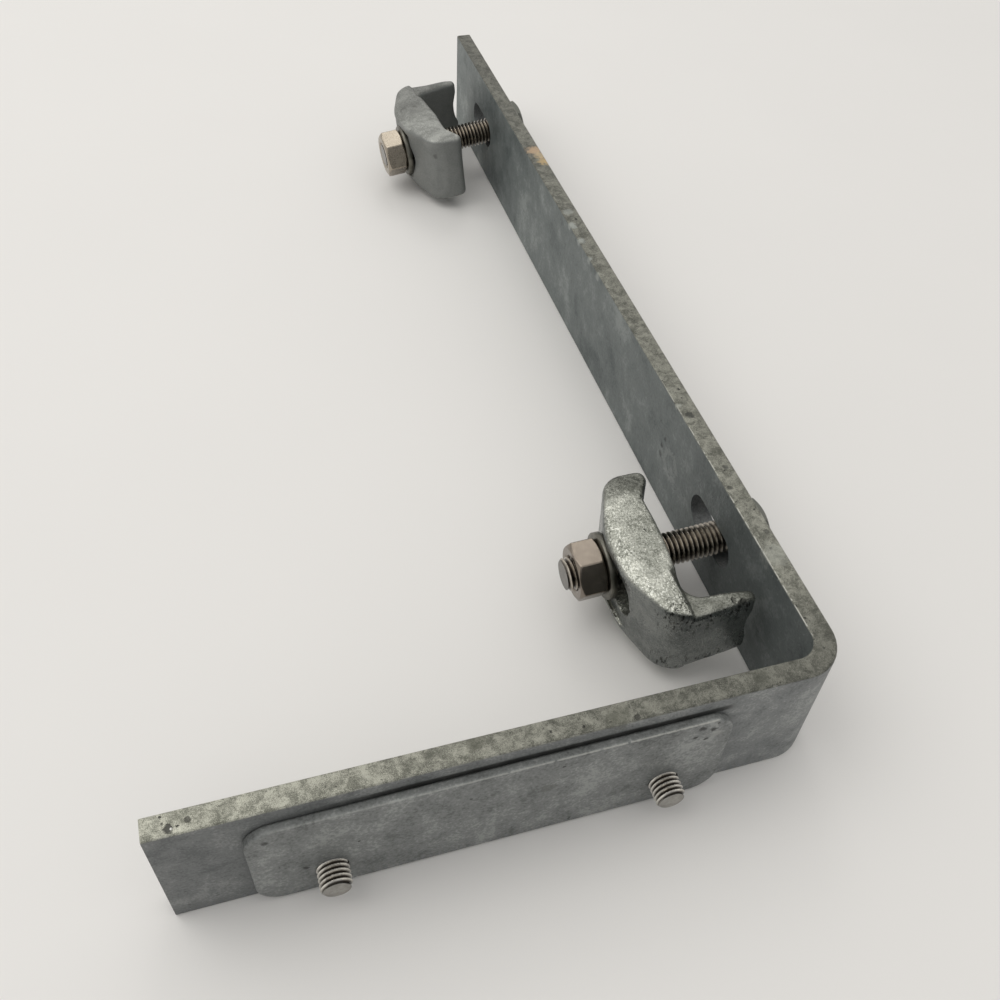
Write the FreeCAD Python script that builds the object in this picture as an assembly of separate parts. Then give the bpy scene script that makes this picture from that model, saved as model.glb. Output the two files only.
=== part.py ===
import FreeCAD, Part
import math
import os

V = FreeCAD.Vector
UP = V(0, 0, 1)

# Solar L-bracket: a galvanised flat bar bent square and standing on its edge.
# Two slots in its long leg each carry a loose bolt with a cast claw, a washer and a nut.
# A plate with two tapped holes is screwed to the outside of its short leg.
# Sizes are in millimetres, angles in degrees. The bracket is drawn with its outside corner
# at the origin, the long leg along +Y and the short leg along -X, and then set so that the
# origin lies under the middle of its box.

# Bent bar
BAR_HEIGHT = 40.0
BAR_THICKNESS = 6.0
LONG_LEG = 350.0
SHORT_LEG = 170.0
BEND_INSIDE_RADIUS = 6.0
BAR_EDGE_RADIUS = 0.7

# Slots in the long leg: the clearance over the bolt, the length over both round ends, the
# height above the lower edge, and each slot's middle
SLOT_CLEARANCE = 1.2
SLOT_LENGTH = 26.0
SLOT_HEIGHT = 20.0
NEAR_SLOT_FROM_CORNER = 65.0
FAR_SLOT_FROM_END = 42.0

# Claw bolts with their nuts and washers
BOLT_DIAMETER = 10.0
BOLT_LENGTH = 55.0
BOLT_TIP_CHAMFER = 0.9
BOLT_FLATS = 16.0
BOLT_HEAD_HEIGHT = 6.4
NUT_HEIGHT = 8.4
WASHER_DIAMETER = 20.0
WASHER_THICKNESS = 2.0
WASHER_CLEARANCE = 0.5
NUT_FIT = 0.1
HEX_CHAMFER = 30.0
HEX_FACE_SHARE = 0.95

# How the two loose bolts hang in their slots: where each one crosses the bar, measured from
# the middle of its slot, how far it has tipped as a share of the slot's clearance, how far
# it has swung round, its grip from head to claw washer, and how far the claw has slid along
# its own slot towards its nose and up in it
NEAR_SHIFT = -2.4
NEAR_TIP_SHARE = 0.245
NEAR_SWING = 0.5
NEAR_GRIP = 42.1
NEAR_SLIDE = -1.9
NEAR_LIFT = 0.7
FAR_SHIFT = -4.5
FAR_TIP_SHARE = 0.52
FAR_SWING = 2.6
FAR_GRIP = 44.6
FAR_SLIDE = 1.6
FAR_LIFT = 0.2
REST_GAP = 0.05

# How each claw, nut and head has been turned on its bolt
NEAR_CLAW_ANGLE = 0.0
NEAR_NUT_ANGLE = 29.0
NEAR_HEAD_ANGLE = 28.0
FAR_CLAW_ANGLE = 178.3
FAR_NUT_ANGLE = 42.7
FAR_HEAD_ANGLE = 35.0

# Claw in plan. Depth is measured from its back towards the bar, and length from the bolt,
# one way to the tail that reaches the bar and the other way to the short nose
CLAW_BACK_TO_TAIL = 13.0
CLAW_BACK_TO_NOSE = 3.0
CLAW_BACK_RADIUS = 28.0
CLAW_SHOULDER_DEPTH = 7.2
CLAW_TAIL_LENGTH = 31.4
CLAW_TAIL_REACH = 32.0
CLAW_TAIL_SPLAY = 1.6
CLAW_TAIL_TIP = 3.8
CLAW_TIP_RADIUS = 1.8
CLAW_HEEL_RADIUS = 10.0
CLAW_THROAT_LENGTH = 23.6
CLAW_THROAT_DEPTH = 13.7
CLAW_THROAT_RADIUS = 4.5
CLAW_WEB = 15.7
CLAW_WEB_BEND = 1.0
CLAW_WEB_RADIUS = 20.0
CLAW_NOSE_LENGTH = 22.6
CLAW_NOSE_REACH = 19.7
CLAW_NOSE_LIP = 3.8
CLAW_NOSE_FOOT = 12.2
CLAW_NOSE_RADIUS = 8.0
CLAW_LIP_RADIUS = 2.6
CLAW_FLANK_RADIUS = 6.0

# Claw in height: its full height, how far each face falls away towards the back, towards the
# ends and along the tail, and the rounding of the rim
CLAW_HEIGHT = 27.4
CLAW_BACK_FALL = 0.8
CLAW_BACK_FALL_DEPTH = 5.0
CLAW_END_FALL = 0.5
CLAW_TAIL_FALL = 2.0
CLAW_TAIL_FALL_START = 13.0
CLAW_TAIL_FALL_POWER = 1.3
CLAW_CROWN_MIDDLE = -4.0
CLAW_CROWN_SPANS = 4
CLAW_TAIL_SECTIONS = (0.25, 0.6, 1.0)
CLAW_RIM_RADIUS = 1.7
CLAW_PILLOW_MARGIN = 3.0

# Slot through the claw, the sunk washer seat around it and the hollow in the end of its tail
CLAW_SLOT_CLEARANCE = 2.0
CLAW_SLOT_TO_TAIL = 16.0
CLAW_SLOT_TO_NOSE = 8.0
CLAW_SEAT_DEPTH = 1.3
CLAW_SEAT_WIDTH = 21.8
CLAW_HOLLOW_DEPTH = 1.8
CLAW_HOLLOW_HEIGHT = 14.0

# Tapped plate on the outside of the short leg
PLATE_LENGTH = 119.0
PLATE_HEIGHT = 34.5
PLATE_THICKNESS = 2.5
PLATE_CORNER_RADIUS = 7.0
PLATE_EDGE_RADIUS = 0.7
PLATE_FROM_END = 19.6
PLATE_LIFT = 0.4

# Plate screws and their washers; each screw is placed from its own end of the plate
SCREW_DIAMETER = 8.0
SCREW_LENGTH = 16.0
SCREW_TIP_CHAMFER = 0.7
SCREW_FLATS = 13.0
SCREW_HEAD_HEIGHT = 5.3
SCREW_HEAD_ANGLE = 12.0
SCREW_FROM_PLATE_LEFT = 18.4
SCREW_FROM_PLATE_RIGHT = 15.6
SCREW_HEIGHT = 10.0
SCREW_HOLE_CLEARANCE = 1.0
TAPPED_HOLE_FIT = 0.1
SCREW_WASHER_DIAMETER = 16.0
SCREW_WASHER_THICKNESS = 1.6
SCREW_WASHER_CLEARANCE = 0.4

SLOT_WIDTH = BOLT_DIAMETER + SLOT_CLEARANCE
OVERRUN = 1.0
UPRIGHT_LEAN = 0.05


def rounded_outline(corners):
    """Closed wire in the XY plane through (x, y, rounding radius) corners."""
    points = [V(x, y, 0) for x, y, radius in corners]
    joins = []
    for index, (x, y, radius) in enumerate(corners):
        corner = points[index]
        before = (points[index - 1] - corner).normalize()
        after = (points[(index + 1) % len(points)] - corner).normalize()
        half_angle = math.acos(before.dot(after)) / 2
        reach = radius / math.tan(half_angle)
        bisector = (before + after).normalize()
        middle = corner + bisector * (radius / math.sin(half_angle) - radius)
        joins.append((corner + before * reach, middle, corner + after * reach, radius))
    edges = []
    for index, (start, middle, end, radius) in enumerate(joins):
        if radius > 0:
            edges.append(Part.Arc(start, middle, end).toShape())
        following = joins[(index + 1) % len(joins)][0]
        edges.append(Part.LineSegment(end, following).toShape())
    return Part.Wire(edges)


def prism(corners, low, high):
    """Solid between two heights with a rounded outline."""
    solid = Part.Face(rounded_outline(corners)).extrude(UP * (high - low))
    solid.translate(UP * low)
    return solid


def stadium(length, width, low, high):
    """Solid with two round ends, its length along X and its middle at the origin."""
    reach = (length - width) / 2
    ends = [Part.makeCylinder(width / 2, high - low, V(side * reach, 0, low)) for side in (-1, 1)]
    block = Part.makeBox(2 * reach, width, high - low, V(-reach, -width / 2, low))
    return block.fuse(ends).removeSplitter()


def hexagon(flats, height, chamfered_ends):
    """Hexagonal prism on Z from the origin, its corners turned off at the ends named."""
    corner_radius = flats / math.sqrt(3)
    ring = [V(corner_radius * math.cos(math.radians(60 * step)),
              corner_radius * math.sin(math.radians(60 * step)), 0) for step in range(7)]
    body = Part.Face(Part.makePolygon(ring)).extrude(UP * height)
    face_radius = flats / 2 * HEX_FACE_SHARE
    drop = (corner_radius - face_radius) * math.tan(math.radians(HEX_CHAMFER))
    cone = Part.makeCone(corner_radius, face_radius, drop, V(0, 0, height - drop))
    turned = Part.makeCylinder(corner_radius, height - drop).fuse(cone)
    if len(chamfered_ends) == 2:
        foot = Part.makeCone(face_radius, corner_radius, drop)
        middle = Part.makeCylinder(corner_radius, height - 2 * drop, V(0, 0, drop))
        turned = foot.fuse([middle, cone])
    return body.common(turned).removeSplitter()


def hex_bolt(diameter, length, tip_chamfer, flats, head_height, head_turn):
    """Bolt on Z: the head stands on the origin's plane and the shank runs down from it."""
    radius = diameter / 2
    head = hexagon(flats, head_height, ("top",))
    head.rotate(V(0, 0, 0), UP, head_turn)
    shank = Part.makeCylinder(radius, length - tip_chamfer, V(0, 0, tip_chamfer - length))
    tip = Part.makeCone(radius - tip_chamfer, radius, tip_chamfer, V(0, 0, -length))
    return head.fuse([shank, tip]).removeSplitter()


def ring(outer_diameter, inner_diameter, thickness):
    """Flat ring on Z from the origin."""
    disc = Part.makeCylinder(outer_diameter / 2, thickness)
    hole = Part.makeCylinder(inner_diameter / 2, thickness + 2 * OVERRUN, V(0, 0, -OVERRUN))
    return disc.cut(hole)


def bolt_washer():
    """Flat washer for a claw bolt, on Z from the origin."""
    return ring(WASHER_DIAMETER, BOLT_DIAMETER + WASHER_CLEARANCE, WASHER_THICKNESS)


def hex_nut(turn):
    """Nut on Z from the origin, with a plain bore that clears the bolt's thread."""
    bore = Part.makeCylinder((BOLT_DIAMETER + NUT_FIT) / 2, NUT_HEIGHT + 2 * OVERRUN,
                             V(0, 0, -OVERRUN))
    nut = hexagon(BOLT_FLATS, NUT_HEIGHT, ("top", "bottom")).cut(bore)
    nut.rotate(V(0, 0, 0), UP, turn)
    return nut


def claw_half_height(depth):
    """Half the claw's height at a depth from its back, on the line of its crown."""
    half = CLAW_HEIGHT / 2
    if depth < CLAW_BACK_FALL_DEPTH:
        share = (CLAW_BACK_FALL_DEPTH - depth) / CLAW_BACK_FALL_DEPTH
        return half - CLAW_BACK_FALL * share ** 2
    if depth > CLAW_TAIL_FALL_START:
        share = (depth - CLAW_TAIL_FALL_START) / (CLAW_TAIL_REACH - CLAW_TAIL_FALL_START)
        return half - CLAW_TAIL_FALL * share ** CLAW_TAIL_FALL_POWER
    return half


def claw_section(depth):
    """Closed wire across the claw at a depth from its back, domed above and below."""
    low = -CLAW_TAIL_LENGTH - CLAW_PILLOW_MARGIN
    high = CLAW_NOSE_LENGTH + CLAW_PILLOW_MARGIN
    reach = CLAW_TAIL_LENGTH + CLAW_CROWN_MIDDLE
    top = []
    for step in range(CLAW_CROWN_SPANS + 1):
        along = low + (high - low) * step / CLAW_CROWN_SPANS
        fall = CLAW_END_FALL * ((along - CLAW_CROWN_MIDDLE) / reach) ** 2
        top.append(V(depth, along, claw_half_height(depth) - fall))
    bottom = [V(point.x, point.y, -point.z) for point in reversed(top)]
    upper = Part.BSplineCurve()
    upper.interpolate(top)
    lower = Part.BSplineCurve()
    lower.interpolate(bottom)
    nose_side = Part.LineSegment(top[-1], bottom[0]).toShape()
    tail_side = Part.LineSegment(bottom[-1], top[0]).toShape()
    return Part.Wire([upper.toShape(), nose_side, lower.toShape(), tail_side])


def claw_pillow():
    """Solid whose domed faces give the claw its top and bottom."""
    depths = [-CLAW_PILLOW_MARGIN, 0, CLAW_BACK_FALL_DEPTH, CLAW_TAIL_FALL_START]
    tail = CLAW_TAIL_REACH - CLAW_TAIL_FALL_START
    depths.extend(CLAW_TAIL_FALL_START + tail * share for share in CLAW_TAIL_SECTIONS)
    depths.append(CLAW_TAIL_REACH + CLAW_PILLOW_MARGIN)
    return Part.makeLoft([claw_section(depth) for depth in depths], True, False)


def stands_upright(face):
    """True when a face has no lean, as the claw's walls have before their rims are rounded."""
    for edge in face.Edges:
        middle = edge.valueAt((edge.FirstParameter + edge.LastParameter) / 2)
        u, v = face.Surface.parameter(middle)
        if abs(face.normalAt(u, v).z) > UPRIGHT_LEAN:
            return False
    return True


def rim_edges(solid):
    """Edges between the upright walls of a solid and its top and bottom."""
    walls = {}
    others = set()
    for face in solid.Faces:
        if stands_upright(face):
            walls.update({edge.hashCode(): edge for edge in face.Edges})
        else:
            others.update(edge.hashCode() for edge in face.Edges)
    return [edge for code, edge in walls.items() if code in others]


def claw():
    """Cast claw with its sunk washer seat at X = 0, facing -X, and the bolt's line along X."""
    outer_tip = CLAW_TAIL_SPLAY - CLAW_TAIL_LENGTH
    plan = [
        (0, CLAW_BACK_TO_NOSE, CLAW_BACK_RADIUS),
        (CLAW_SHOULDER_DEPTH, CLAW_NOSE_LENGTH, CLAW_NOSE_RADIUS),
        (CLAW_NOSE_REACH, CLAW_NOSE_LENGTH, CLAW_LIP_RADIUS),
        (CLAW_NOSE_REACH, CLAW_NOSE_LENGTH - CLAW_NOSE_LIP, CLAW_LIP_RADIUS),
        (CLAW_WEB, CLAW_NOSE_FOOT, CLAW_FLANK_RADIUS),
        (CLAW_WEB, -CLAW_WEB_BEND, CLAW_WEB_RADIUS),
        (CLAW_THROAT_DEPTH, -CLAW_THROAT_LENGTH, CLAW_THROAT_RADIUS),
        (CLAW_TAIL_REACH, outer_tip + CLAW_TAIL_TIP, CLAW_TIP_RADIUS),
        (CLAW_TAIL_REACH, outer_tip, CLAW_TIP_RADIUS),
        (CLAW_SHOULDER_DEPTH, -CLAW_TAIL_LENGTH, CLAW_HEEL_RADIUS),
        (0, -CLAW_BACK_TO_TAIL, CLAW_BACK_RADIUS),
    ]
    half = CLAW_HEIGHT / 2 + OVERRUN
    body = prism(plan, -half, half).common(claw_pillow()).Solids[0]
    body = body.makeFillet(CLAW_RIM_RADIUS, rim_edges(body))

    slot_length = CLAW_SLOT_TO_TAIL + CLAW_SLOT_TO_NOSE
    slot_width = BOLT_DIAMETER + CLAW_SLOT_CLEARANCE
    slot = stadium(slot_length, slot_width, 0, CLAW_WEB + 2 * OVERRUN)
    seat = stadium(slot_length + CLAW_SEAT_WIDTH - slot_width, CLAW_SEAT_WIDTH, 0,
                   CLAW_SEAT_DEPTH + OVERRUN)
    for hole in (slot, seat):
        hole.rotate(V(0, 0, 0), UP, 90)
        hole.rotate(V(0, 0, 0), V(0, 1, 0), 90)
        hole.translate(V(-OVERRUN, (CLAW_SLOT_TO_NOSE - CLAW_SLOT_TO_TAIL) / 2, 0))

    half_chord = CLAW_HOLLOW_HEIGHT / 2
    radius = (half_chord ** 2 + CLAW_HOLLOW_DEPTH ** 2) / (2 * CLAW_HOLLOW_DEPTH)
    hollow = Part.makeCylinder(radius, CLAW_TAIL_LENGTH,
                               V(CLAW_TAIL_REACH - CLAW_HOLLOW_DEPTH + radius,
                                 -CLAW_TAIL_LENGTH - OVERRUN, 0), V(0, 1, 0))
    casting = body.cut([slot, seat, hollow]).Solids[0]
    casting.translate(V(-CLAW_SEAT_DEPTH, 0, 0))
    return casting


def bracket():
    """Bent bar with the slots in its long leg and the screw holes in its short leg."""
    inner = BAR_THICKNESS
    plan = [
        (0, 0, BEND_INSIDE_RADIUS + BAR_THICKNESS),
        (0, LONG_LEG, 0),
        (-inner, LONG_LEG, 0),
        (-inner, inner, BEND_INSIDE_RADIUS),
        (-SHORT_LEG, inner, 0),
        (-SHORT_LEG, 0, 0),
    ]
    bar = prism(plan, 0, BAR_HEIGHT)
    long_edges = []
    for edge in rim_edges(bar):
        box = edge.BoundBox
        at_end = box.YMin > LONG_LEG - OVERRUN or box.XMax < OVERRUN - SHORT_LEG
        if not at_end:
            long_edges.append(edge)
    bar = bar.makeFillet(BAR_EDGE_RADIUS, long_edges)
    cuts = []
    for middle in (NEAR_SLOT_FROM_CORNER, LONG_LEG - FAR_SLOT_FROM_END):
        slot = stadium(SLOT_LENGTH, SLOT_WIDTH, 0, inner + 2 * OVERRUN)
        slot.rotate(V(0, 0, 0), UP, 90)
        slot.rotate(V(0, 0, 0), V(0, 1, 0), 90)
        slot.translate(V(-inner - OVERRUN, middle, SLOT_HEIGHT))
        cuts.append(slot)
    for centre in screw_places():
        cuts.append(Part.makeCylinder((SCREW_DIAMETER + SCREW_HOLE_CLEARANCE) / 2,
                                      inner + 2 * OVERRUN, centre - V(0, OVERRUN, 0), V(0, 1, 0)))
    return bar.cut(cuts).Solids[0]


def screw_places():
    """Points where the plate screws cross the outer face of the short leg."""
    plate_left = PLATE_FROM_END - SHORT_LEG
    return [V(plate_left + SCREW_FROM_PLATE_LEFT, 0, SCREW_HEIGHT),
            V(plate_left + PLATE_LENGTH - SCREW_FROM_PLATE_RIGHT, 0, SCREW_HEIGHT)]


def plate():
    """Tapped plate, its back against the outer face of the short leg."""
    left = PLATE_FROM_END - SHORT_LEG
    top = PLATE_LIFT + PLATE_HEIGHT
    outline = [
        (left, PLATE_LIFT, PLATE_CORNER_RADIUS),
        (left + PLATE_LENGTH, PLATE_LIFT, PLATE_CORNER_RADIUS),
        (left + PLATE_LENGTH, top, PLATE_CORNER_RADIUS),
        (left, top, PLATE_CORNER_RADIUS),
    ]
    sheet = prism(outline, 0, PLATE_THICKNESS)
    sheet = sheet.makeFillet(PLATE_EDGE_RADIUS, rim_edges(sheet))
    sheet.rotate(V(0, 0, 0), V(1, 0, 0), 90)
    holes = [Part.makeCylinder((SCREW_DIAMETER + TAPPED_HOLE_FIT) / 2,
                               PLATE_THICKNESS + 2 * OVERRUN,
                               centre + V(0, OVERRUN, 0), V(0, -1, 0))
             for centre in screw_places()]
    return sheet.cut(holes).Solids[0]


def plate_screw(centre):
    """Screw whose head stands on its washer inside the short leg."""
    screw = hex_bolt(SCREW_DIAMETER, SCREW_LENGTH, SCREW_TIP_CHAMFER, SCREW_FLATS,
                     SCREW_HEAD_HEIGHT, SCREW_HEAD_ANGLE)
    screw.rotate(V(0, 0, 0), V(1, 0, 0), -90)
    screw.translate(centre + V(0, BAR_THICKNESS + SCREW_WASHER_THICKNESS, 0))
    return screw


def plate_washer(centre):
    """Washer between a plate screw's head and the inside of the short leg."""
    washer = ring(SCREW_WASHER_DIAMETER, SCREW_DIAMETER + SCREW_WASHER_CLEARANCE,
                  SCREW_WASHER_THICKNESS)
    washer.rotate(V(0, 0, 0), V(1, 0, 0), -90)
    washer.translate(centre + V(0, BAR_THICKNESS, 0))
    return washer


def along_bolt(shape, start):
    """Turn a shape drawn on Z onto the bolt's line, X, and set its foot at a depth."""
    shape.rotate(V(0, 0, 0), V(0, 1, 0), 90)
    shape.translate(V(start, 0, 0))
    return shape


def claw_set(side, crossing, tip_share, swing, grip, slip, turns):
    """Bolt, claw, washers and nut of one slot, hung together and set where the bolt hangs.

    crossing is where the bolt's line crosses the inner face, measured along the leg. The
    bolt rests on the lower edge of its slot. Depth is measured from the claw's washer seat.
    """
    claw_turn, nut_turn, head_turn = turns
    tip = math.degrees(math.atan(tip_share * SLOT_CLEARANCE / BAR_THICKNESS))
    lean = math.acos(math.cos(math.radians(tip)) * math.cos(math.radians(swing)))
    radius = BOLT_DIAMETER / 2
    standoff = WASHER_DIAMETER / 2 * math.tan(lean) + REST_GAP + WASHER_THICKNESS
    height = SLOT_HEIGHT - SLOT_WIDTH / 2 + radius / math.cos(math.radians(tip)) + REST_GAP
    crossing_point = V(-BAR_THICKNESS, crossing, height)
    crossing_depth = grip - standoff - BAR_THICKNESS / math.cos(lean)

    bolt = along_bolt(hex_bolt(BOLT_DIAMETER, BOLT_LENGTH, BOLT_TIP_CHAMFER, BOLT_FLATS,
                               BOLT_HEAD_HEIGHT, head_turn), grip)
    casting = claw()
    casting.rotate(V(0, 0, 0), V(1, 0, 0), claw_turn)
    casting.translate(V(0, slip[0] * math.cos(math.radians(claw_turn)), slip[1]))
    washer = along_bolt(bolt_washer(), -WASHER_THICKNESS)
    head_washer = along_bolt(bolt_washer(), grip - WASHER_THICKNESS)
    nut = along_bolt(hex_nut(nut_turn), -WASHER_THICKNESS - NUT_HEIGHT)
    hung = {"bolt": bolt, "claw": casting, "washer": washer, "nut": nut,
            "head_washer": head_washer}
    for shape in hung.values():
        shape.translate(V(-crossing_depth, 0, 0))
        shape.rotate(V(0, 0, 0), V(0, 1, 0), -tip)
        shape.rotate(V(0, 0, 0), UP, swing)
        shape.translate(crossing_point)
    return {side + "_" + name: shape for name, shape in hung.items()}


pieces = {"l_bracket": bracket(), "clamp_plate": plate()}
for side, centre in zip(("left", "right"), screw_places()):
    pieces["plate_screw_" + side] = plate_screw(centre)
    pieces["plate_washer_" + side] = plate_washer(centre)
pieces.update(claw_set("near", NEAR_SLOT_FROM_CORNER + NEAR_SHIFT, NEAR_TIP_SHARE,
                       NEAR_SWING, NEAR_GRIP, (NEAR_SLIDE, NEAR_LIFT),
                       (NEAR_CLAW_ANGLE, NEAR_NUT_ANGLE, NEAR_HEAD_ANGLE)))
pieces.update(claw_set("far", LONG_LEG - FAR_SLOT_FROM_END + FAR_SHIFT, FAR_TIP_SHARE,
                       FAR_SWING, FAR_GRIP, (FAR_SLIDE, FAR_LIFT),
                       (FAR_CLAW_ANGLE, FAR_NUT_ANGLE, FAR_HEAD_ANGLE)))

box = Part.Compound(list(pieces.values())).optimalBoundingBox(False)
to_row = V(-box.Center.x, -box.Center.y, -box.ZMin)
os.makedirs("parts", exist_ok=True)
for name, shape in pieces.items():
    shape.translate(to_row)
    shape.exportStep(os.path.join("parts", name + ".step"))
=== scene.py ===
import logging
import math
from dataclasses import dataclass, field
from enum import Enum
from typing import Iterable, Sequence, Union

import bmesh
import bpy
from mathutils import Matrix, Vector, noise


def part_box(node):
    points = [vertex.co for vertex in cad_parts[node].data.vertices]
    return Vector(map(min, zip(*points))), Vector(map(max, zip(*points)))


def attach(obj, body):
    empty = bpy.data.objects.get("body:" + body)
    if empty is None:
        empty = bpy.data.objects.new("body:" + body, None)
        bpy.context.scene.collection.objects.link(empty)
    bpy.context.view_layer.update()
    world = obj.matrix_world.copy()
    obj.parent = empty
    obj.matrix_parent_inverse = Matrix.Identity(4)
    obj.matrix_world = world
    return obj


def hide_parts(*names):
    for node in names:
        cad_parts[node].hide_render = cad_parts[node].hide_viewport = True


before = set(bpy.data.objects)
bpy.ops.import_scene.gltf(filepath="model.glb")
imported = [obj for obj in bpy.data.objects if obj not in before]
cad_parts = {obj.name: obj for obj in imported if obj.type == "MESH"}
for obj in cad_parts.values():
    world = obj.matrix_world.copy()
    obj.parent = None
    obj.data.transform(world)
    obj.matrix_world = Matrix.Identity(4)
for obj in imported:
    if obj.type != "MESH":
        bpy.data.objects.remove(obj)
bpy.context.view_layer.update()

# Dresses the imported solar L-bracket: the zinc coat of the bar and plate, the cast claws, the
# real threads of the bolts and screws, the soft light and the camera.
# Sizes in the classes are in millimetres. Blender's own units are metres.

MM = 0.001
BODY = "root"
MIX_SHARE, MIX_FIRST, MIX_SECOND = 0, 6, 7
MIX_COLOUR = 2

Material, Object, Node = bpy.types.Material, bpy.types.Object, bpy.types.Node
Tree, Socket = bpy.types.NodeTree, bpy.types.NodeSocket
Form, Vertex = bmesh.types.BMesh, bmesh.types.BMVert
Colour = tuple[float, float, float]
Ring = list[Vector]

PLAIN_GREY: Colour = (0.5, 0.5, 0.5)
CHAMFER_ANGLE = 30
THREAD_DEPTH_IN_PITCHES = 0.6134
SAME_POINT = 1e-4

log = logging.getLogger("bracket")


class Side(Enum):
    """The two claw bolts, named by how near they hang to the bend."""

    NEAR = "near"
    FAR = "far"


class Wire:
    """An output in a shader tree, which can be worked on like a number."""

    def __init__(self, graph: "Graph", socket: Socket) -> None:
        """Keeps the output and the graph that it is in."""
        self.graph, self.socket = graph, socket

    def math(self, operation: str, *others: "Value") -> "Wire":
        """Returns what the Math node makes of this number and others."""
        return self.graph.math(operation, self, *others)

    def __add__(self, other: "Value") -> "Wire":
        """Returns the sum."""
        return self.math("ADD", other)

    def __sub__(self, other: "Value") -> "Wire":
        """Returns the difference."""
        return self.math("SUBTRACT", other)

    def __rsub__(self, other: float) -> "Wire":
        """Returns the difference from a plain number."""
        return self.graph.math("SUBTRACT", other, self)

    def __mul__(self, other: "Value") -> "Wire":
        """Returns the product."""
        return self.math("MULTIPLY", other)

    def __or__(self, other: "Value") -> "Wire":
        """Returns the larger of the two."""
        return self.math("MAXIMUM", other)

    def __abs__(self) -> "Wire":
        """Returns the number without its sign."""
        return self.math("ABSOLUTE")

    def ranged(self, kind: str, end: str, low: "Value", high: "Value") -> "Wire":
        """Carries the number from one range over to another, and holds it inside.

        Args:
            kind: the Map Range node's interpolation.
            end: "From" or "To", for the range that is set; the other is 0 to 1.
            low: the range's start.
            high: the range's end.

        Returns:
            The result.
        """
        node = self.graph.add("ShaderNodeMapRange", interpolation_type=kind)
        for name, value in (("Value", self), (end + " Min", low), (end + " Max", high)):
            self.graph.feed(node.inputs[name], value)
        return Wire(self.graph, node.outputs["Result"])

    def step(self, low: "Value", high: "Value") -> "Wire":
        """Returns 0 below low and 1 above high, or the other way round if low is the larger."""
        return self.ranged("SMOOTHSTEP", "From", low, high)

    def between(self, low: "Value", high: "Value") -> "Wire":
        """Returns the number that lies this share of the way from low to high."""
        return self.ranged("LINEAR", "To", low, high)

    def vector(self, operation: str, other: object, output: str = "Vector",
               entry: Union[int, str] = 1) -> "Wire":
        """Works on this vector.

        Args:
            operation: the Vector Math node's operation.
            other: second vector, or the factor of a scaling.
            output: which of the node's outputs is wanted.
            entry: which of its inputs the second value goes into.

        Returns:
            The result.
        """
        node = self.graph.add("ShaderNodeVectorMath", operation=operation)
        self.graph.feed(node.inputs[0], self)
        self.graph.feed(node.inputs[entry], other)
        return Wire(self.graph, node.outputs[output])

    def scaled(self, scale: "Value") -> "Wire":
        """Returns this vector times a number."""
        return self.vector("SCALE", scale, entry="Scale")

    def moved(self, step: Colour) -> "Wire":
        """Returns this vector with another one added."""
        return self.vector("ADD", step)

    def stretched(self, factors: Colour) -> "Wire":
        """Returns this vector with each of its parts times a factor."""
        return self.vector("MULTIPLY", factors)

    def reach(self, centre: Colour) -> "Wire":
        """Returns how far this place lies from a fixed point."""
        return self.vector("DISTANCE", centre, "Value")

    def parts(self) -> tuple["Wire", "Wire", "Wire"]:
        """Returns the X, Y and Z of this vector."""
        node = self.graph.add("ShaderNodeSeparateXYZ")
        self.graph.feed(node.inputs[0], self)
        return tuple(Wire(self.graph, socket) for socket in node.outputs)

    def noise(self, size: "Value", detail: float, roughness: float, distortion: float = 0.0) -> "Wire":
        """Adds cloudy noise at this place.

        Args:
            size: size of its largest lumps, in the place's units.
            detail: number of finer layers.
            roughness: strength of each finer layer.
            distortion: how much the lumps are twisted.

        Returns:
            A value near one half.
        """
        node = self.graph.add("ShaderNodeTexNoise", noise_dimensions="3D")
        settings = {"Vector": self, "Scale": self.graph.math("DIVIDE", 1.0, size), "Detail": detail,
                    "Roughness": roughness, "Distortion": distortion}
        for name, value in settings.items():
            self.graph.feed(node.inputs[name], value)
        return Wire(self.graph, node.outputs[0])


Value = Union[float, Wire]
Tint = Union[Colour, Wire]


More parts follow.
